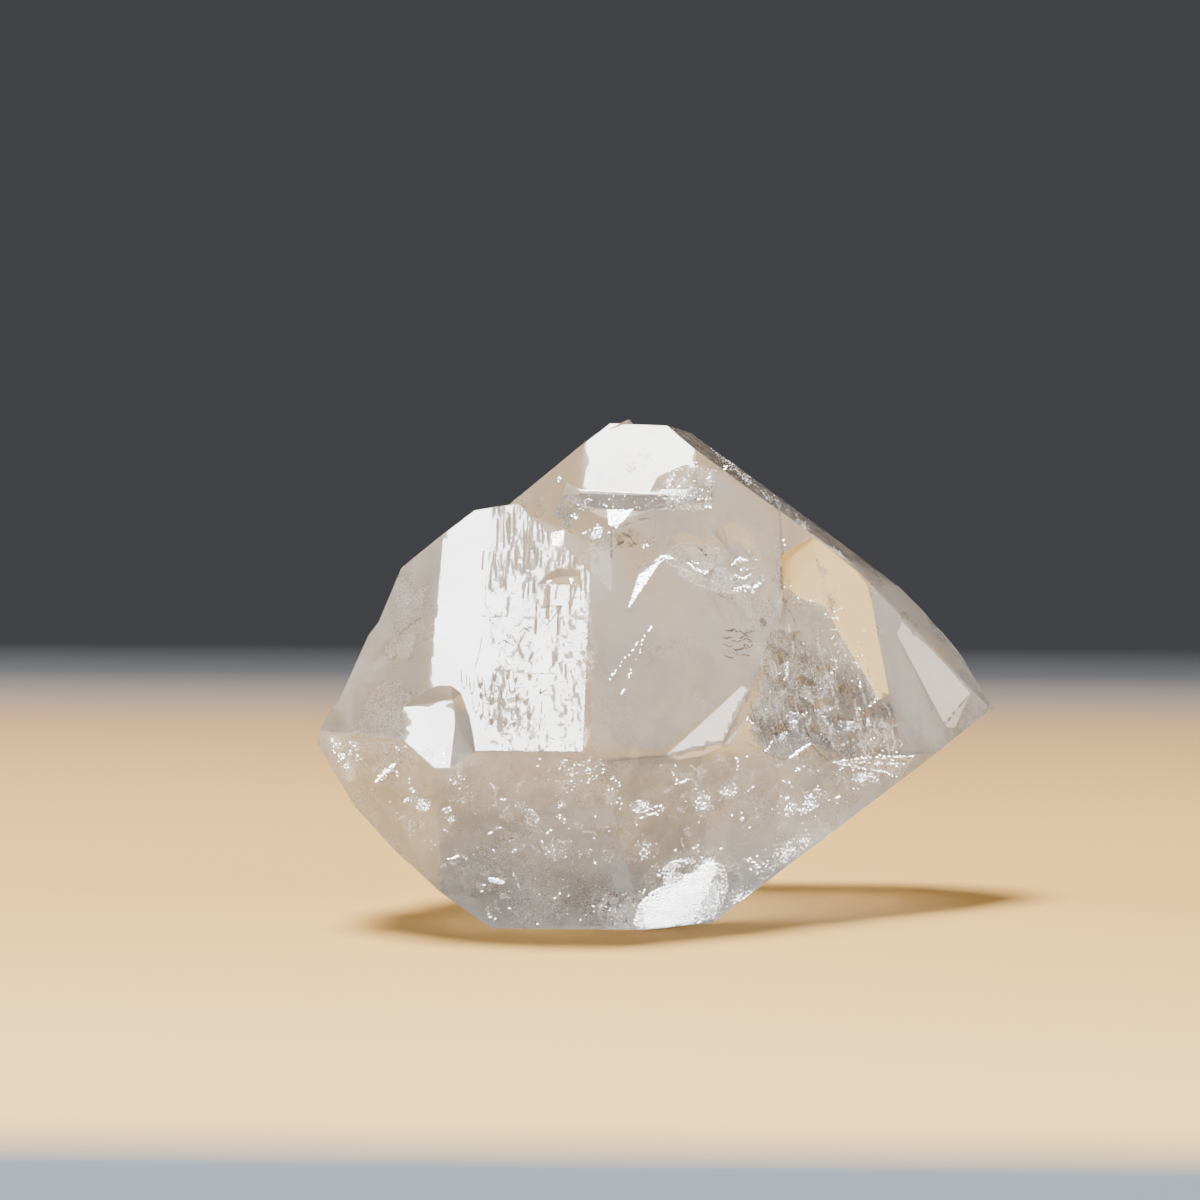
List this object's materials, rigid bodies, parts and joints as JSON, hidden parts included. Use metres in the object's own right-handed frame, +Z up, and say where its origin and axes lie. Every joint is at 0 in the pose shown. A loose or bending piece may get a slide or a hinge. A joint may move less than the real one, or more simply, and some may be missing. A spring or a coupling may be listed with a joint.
{
  "type": "herkimer diamond",
  "caption": "Clear doubly terminated quartz crystal with a second crystal grown on its side; lies on a small flat face.",
  "frame": {"origin": "middle of the overall box at the resting face, z = 0 on the table", "axes": "+X along the crystal's long c axis towards its sharp tip, -Y towards the viewer and the side crystal, +Z up"},
  "size_m": [0.0262, 0.0204, 0.0195],
  "materials": {
    "quartz": "clear, natural glassy crystal faces"
  },
  "bodies": {
    "root": {"herkimer_diamond": "quartz"}
  },
  "joints": []
}
